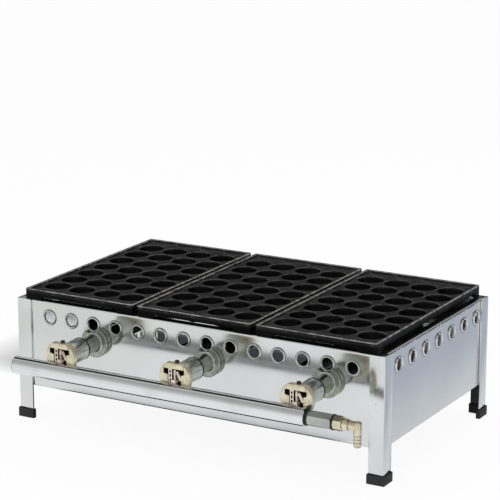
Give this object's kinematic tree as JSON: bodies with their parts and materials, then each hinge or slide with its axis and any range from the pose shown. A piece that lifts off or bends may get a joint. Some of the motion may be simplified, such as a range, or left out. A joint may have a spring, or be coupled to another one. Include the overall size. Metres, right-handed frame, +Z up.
{
  "type": "takoyaki maker",
  "caption": "Gas takoyaki maker: a sheet-steel box on angle legs with loose cast-iron cup pans, each over its own burner, fed by a pipe along the front with a hose inlet.",
  "frame": {"origin": "on the table, under the middle of the leg frame", "axes": "+X to the cook's right along the gas pipe, -Y towards the cook, +Z up"},
  "size_m": [0.6545, 0.4841, 0.212],
  "materials": {
    "stainless": "smooth rolled sheet, near mirror",
    "cast_iron": "dark seasoned casting",
    "burner_iron": "heat-darkened",
    "zinc": "turned, bright zinc",
    "pale_brass": "turned and cast, pale",
    "chrome": "polished",
    "black_rubber": "matte",
    "dark_steel": "blackened, satin"
  },
  "bodies": {
    "cooker_frame": {"leg_front_left": "stainless", "foot_cap_front_left": "black_rubber", "leg_front_right": "stainless", "foot_cap_front_right": "black_rubber", "leg_rear_left": "stainless", "foot_cap_rear_left": "black_rubber", "leg_rear_right": "stainless", "foot_cap_rear_right": "black_rubber", "front_panel": "stainless", "rear_panel": "stainless", "left_panel": "stainless", "right_panel": "stainless", "cross_rail_left": "stainless", "cross_rail_right": "stainless", "burner_bearer_front": "stainless", "burner_bearer_rear": "stainless", "burner_pipe_left": "burner_iron", "panel_collar_left": "zinc", "mixing_tube_left": "zinc", "stop_ring_left": "dark_steel", "nozzle_head_left": "pale_brass", "gas_nozzle_left": "pale_brass", "lock_screw_left": "dark_steel", "burner_pipe_middle": "burner_iron", "panel_collar_middle": "zinc", "mixing_tube_middle": "zinc", "stop_ring_middle": "dark_steel", "nozzle_head_middle": "pale_brass", "gas_nozzle_middle": "pale_brass", "lock_screw_middle": "dark_steel", "burner_pipe_right": "burner_iron", "panel_collar_right": "zinc", "mixing_tube_right": "zinc", "stop_ring_right": "dark_steel", "nozzle_head_right": "pale_brass", "gas_nozzle_right": "pale_brass", "lock_screw_right": "dark_steel", "gas_pipe": "chrome", "gas_pipe_cap": "chrome", "pipe_end_ring": "dark_steel", "inlet_socket": "zinc", "inlet_gasket": "black_rubber", "union_nut": "pale_brass"},
    "loose_pan_left": {"pan_left": "cast_iron"},
    "loose_pan_middle": {"pan_middle": "cast_iron"},
    "loose_pan_right": {"pan_right": "cast_iron"},
    "air_control_left": {"air_sleeve_left": "zinc"},
    "air_control_middle": {"air_sleeve_middle": "zinc"},
    "air_control_right": {"air_sleeve_right": "zinc"},
    "hose_tail": {"hose_elbow": "pale_brass"}
  },
  "joints": [
    {"name": "pan_lift_left", "type": "slide", "parent": "cooker_frame", "child": "loose_pan_left", "axis": [0, 0, 1], "range_m": [0, 0.08]},
    {"name": "pan_lift_middle", "type": "slide", "parent": "cooker_frame", "child": "loose_pan_middle", "axis": [0, 0, 1], "range_m": [0, 0.08]},
    {"name": "pan_lift_right", "type": "slide", "parent": "cooker_frame", "child": "loose_pan_right", "axis": [0, 0, 1], "range_m": [0, 0.08]},
    {"name": "air_control_turn_left", "type": "hinge", "parent": "cooker_frame", "child": "air_control_left", "pos_m": [-0.174, -0.2422, 0.144], "axis": [0, -1, 0], "range_deg": [0, 90]},
    {"name": "air_control_turn_middle", "type": "hinge", "parent": "cooker_frame", "child": "air_control_middle", "pos_m": [0.027, -0.2422, 0.144], "axis": [0, -1, 0], "range_deg": [0, 90]},
    {"name": "air_control_turn_right", "type": "hinge", "parent": "cooker_frame", "child": "air_control_right", "pos_m": [0.228, -0.2422, 0.144], "axis": [0, -1, 0], "range_deg": [0, 90]},
    {"name": "hose_tail_swivel", "type": "hinge", "parent": "cooker_frame", "child": "hose_tail", "pos_m": [0.3, -0.2835, 0.1225], "axis": [1, 0, 0], "continuous": true}
  ]
}
